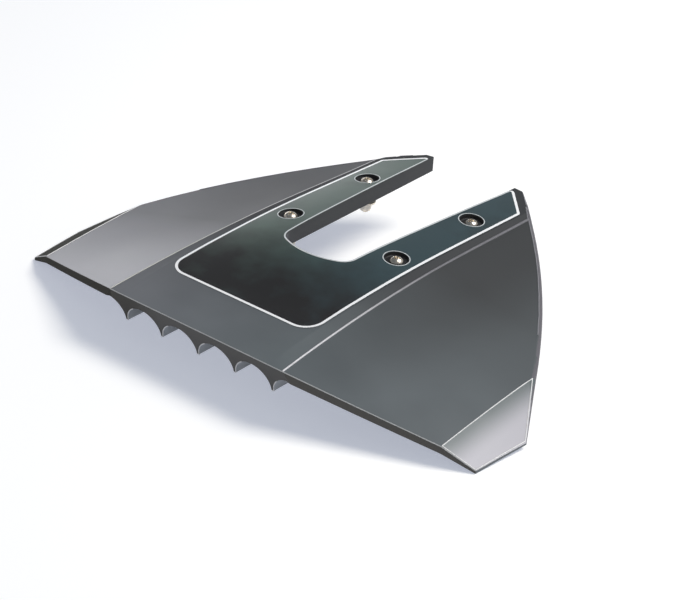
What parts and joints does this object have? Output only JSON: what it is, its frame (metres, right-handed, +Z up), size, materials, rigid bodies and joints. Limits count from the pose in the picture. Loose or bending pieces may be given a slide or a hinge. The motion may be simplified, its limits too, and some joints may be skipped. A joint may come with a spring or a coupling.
{
  "type": "outboard hydrofoil",
  "caption": "Delta-shaped moulded hydrofoil stabiliser with drooping wings, fins under its trailing edge and a slotted deck that bolts on over a drive's plate.",
  "frame": {"origin": "centre of the four-bolt pattern, on the plane of the flat underside that seats on the drive's anti-ventilation plate", "axes": "+X to starboard, +Y forward towards the boat, along the leg slot, +Z up"},
  "size_m": [0.521, 0.3815, 0.0744],
  "materials": {
    "foil_body": "moulded glass-filled nylon, satin, charcoal grey",
    "deck_decal": "glossy printed vinyl with a white border",
    "bolt": "polished stainless steel",
    "washer": "stamped stainless steel",
    "lock_nut": "stainless steel",
    "nut_insert": "nylon"
  },
  "bodies": {
    "root": {"foil_body": "foil_body", "deck_decal": "deck_decal", "bolt_port_aft": "bolt", "bolt_port_front": "bolt", "bolt_starboard_aft": "bolt", "bolt_starboard_front": "bolt", "washer_port_aft": "washer", "washer_port_front": "washer", "washer_starboard_aft": "washer", "washer_starboard_front": "washer", "lock_nut_port_aft": "lock_nut", "lock_nut_port_front": "lock_nut", "lock_nut_starboard_aft": "lock_nut", "lock_nut_starboard_front": "lock_nut", "nut_insert_port_aft": "nut_insert", "nut_insert_port_front": "nut_insert", "nut_insert_starboard_aft": "nut_insert", "nut_insert_starboard_front": "nut_insert"}
  },
  "joints": []
}
